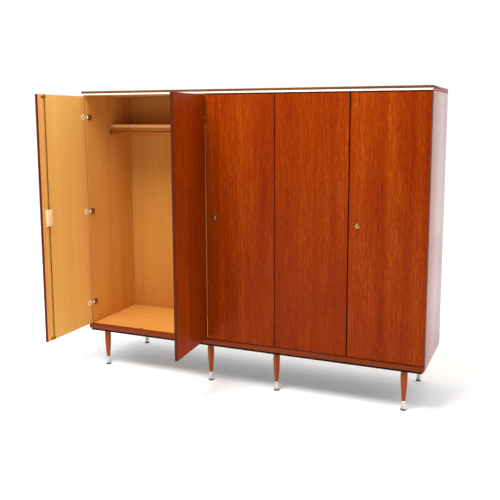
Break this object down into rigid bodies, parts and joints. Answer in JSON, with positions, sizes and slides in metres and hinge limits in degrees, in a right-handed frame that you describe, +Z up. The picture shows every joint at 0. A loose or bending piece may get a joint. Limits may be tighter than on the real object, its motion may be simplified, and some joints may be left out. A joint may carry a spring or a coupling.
{
  "type": "wardrobe with doors",
  "caption": "Low wide veneered wardrobe on turned tapering legs, with flush hinged doors over hanging compartments, rod locks and a hat shelf; two leaves stored open.",
  "frame": {"origin": "bottom centre of the box of the whole model as stored, with the two left leaves open; the floor is z = 0", "axes": "+X along the front from left to right, +Y from the doors to the back, +Z up"},
  "size_m": [2.27, 1.0034, 1.832],
  "materials": {
    "teak": "satin lacquered teak veneer",
    "honey": "satin lacquered pale veneer",
    "pale": "ivory lacquer",
    "black": "black stain",
    "nickel": "worn satin nickel plate",
    "bronze": "dark bronze plate",
    "brass": "satin brass",
    "ivory": "moulded ivory plastic"
  },
  "bodies": {
    "carcass": {"top_board": "teak", "left_side_panel": "teak", "right_side_panel": "teak", "bottom_front_rail": "teak", "leg_front_1": "teak", "leg_front_2": "teak", "leg_front_3": "teak", "leg_front_4": "teak", "leg_rear_1": "teak", "leg_rear_2": "teak", "left_divider": "honey", "right_divider": "honey", "bottom_board": "honey", "back_panel_left": "honey", "back_panel_centre": "honey", "back_panel_right": "honey", "hat_shelf_left": "honey", "hat_shelf_right": "honey", "linen_shelf_1": "honey", "linen_shelf_2": "honey", "linen_shelf_3": "honey", "top_front_strip": "pale", "base_band": "black", "ferrule_front_1": "nickel", "ferrule_front_2": "nickel", "ferrule_front_3": "nickel", "ferrule_front_4": "nickel", "ferrule_rear_1": "nickel", "ferrule_rear_2": "nickel", "hinge_arm_bottom": "bronze", "hinge_arm_middle": "bronze", "hinge_arm_top": "bronze", "clothes_rail_left": "bronze", "clothes_rail_right": "bronze", "rail_socket_side": "bronze", "rail_socket_divider": "bronze"},
    "door_1": {"door_1_panel": "teak", "hinge_cup_bottom": "nickel", "hinge_cup_middle": "nickel", "hinge_cup_top": "nickel", "lock_1_case": "ivory", "lock_1_rose": "brass"},
    "door_2": {"door_2_panel": "teak"},
    "door_3": {"door_3_panel": "teak", "lock_3_case": "ivory", "lock_3_rose": "brass"},
    "door_4": {"door_4_panel": "teak"},
    "door_5": {"door_5_panel": "teak", "lock_5_case": "ivory", "lock_5_rose": "brass"},
    "lock_1_knob": {"lock_1_knob": "brass"},
    "lock_1_upper_rod": {"lock_1_upper_rod": "bronze"},
    "lock_1_lower_rod": {"lock_1_lower_rod": "bronze"},
    "lock_3_plug": {"lock_3_key_plug": "brass"},
    "lock_3_upper_rod": {"lock_3_upper_rod": "bronze"},
    "lock_3_lower_rod": {"lock_3_lower_rod": "bronze"},
    "lock_5_knob": {"lock_5_knob": "brass"},
    "lock_5_upper_rod": {"lock_5_upper_rod": "bronze"},
    "lock_5_lower_rod": {"lock_5_lower_rod": "bronze"}
  },
  "joints": [
    {"name": "door_1_swing", "type": "hinge", "parent": "carcass", "child": "door_1", "pos_m": [-1.111, -0.05825, 1.043], "axis": [0, 0, -1], "range_deg": [-90, 20]},
    {"name": "door_2_swing", "type": "hinge", "parent": "carcass", "child": "door_2", "pos_m": [-0.219, -0.05825, 1.043], "axis": [0, 0, 1], "range_deg": [-95, 1]},
    {"name": "door_3_swing", "type": "hinge", "parent": "carcass", "child": "door_3", "pos_m": [0.231, -0.05825, 1.043], "axis": [0, 0, 1], "range_deg": [0, 90]},
    {"name": "door_4_swing", "type": "hinge", "parent": "carcass", "child": "door_4", "pos_m": [0.239, -0.05825, 1.043], "axis": [0, 0, -1], "range_deg": [0, 90]},
    {"name": "door_5_swing", "type": "hinge", "parent": "carcass", "child": "door_5", "pos_m": [1.131, -0.05825, 1.043], "axis": [0, 0, 1], "range_deg": [0, 110]},
    {"name": "lock_1_turn", "type": "hinge", "parent": "door_1", "child": "lock_1_knob", "pos_m": [-1.111, -0.45175, 1.056], "axis": [1, 0, 0], "range_deg": [0, 90]},
    {"name": "lock_1_upper_slide", "type": "slide", "parent": "door_1", "child": "lock_1_upper_rod", "axis": [0, 0, 1], "range_m": [0, 0.014]},
    {"name": "lock_1_lower_slide", "type": "slide", "parent": "door_1", "child": "lock_1_lower_rod", "axis": [0, 0, -1], "range_m": [0, 0.014]},
    {"name": "lock_3_turn", "type": "hinge", "parent": "door_3", "child": "lock_3_plug", "pos_m": [-0.1635, -0.05825, 1.056], "axis": [0, 1, 0], "range_deg": [0, 90]},
    {"name": "lock_3_upper_slide", "type": "slide", "parent": "door_3", "child": "lock_3_upper_rod", "axis": [0, 0, 1], "range_m": [0, 0.014]},
    {"name": "lock_3_lower_slide", "type": "slide", "parent": "door_3", "child": "lock_3_lower_rod", "axis": [0, 0, -1], "range_m": [0, 0.014]},
    {"name": "lock_5_turn", "type": "hinge", "parent": "door_5", "child": "lock_5_knob", "pos_m": [0.7375, -0.05825, 1.056], "axis": [0, 1, 0], "range_deg": [0, 90]},
    {"name": "lock_5_upper_slide", "type": "slide", "parent": "door_5", "child": "lock_5_upper_rod", "axis": [0, 0, 1], "range_m": [0, 0.014]},
    {"name": "lock_5_lower_slide", "type": "slide", "parent": "door_5", "child": "lock_5_lower_rod", "axis": [0, 0, -1], "range_m": [0, 0.014]}
  ],
  "couplings": [
    {"joint": "lock_1_turn", "follows": "lock_1_upper_slide", "rad_per_m": 112.2},
    {"joint": "lock_1_lower_slide", "follows": "lock_1_upper_slide", "ratio": 1},
    {"joint": "lock_3_turn", "follows": "lock_3_upper_slide", "rad_per_m": 112.2},
    {"joint": "lock_3_lower_slide", "follows": "lock_3_upper_slide", "ratio": 1},
    {"joint": "lock_5_turn", "follows": "lock_5_upper_slide", "rad_per_m": 112.2},
    {"joint": "lock_5_lower_slide", "follows": "lock_5_upper_slide", "ratio": 1}
  ]
}
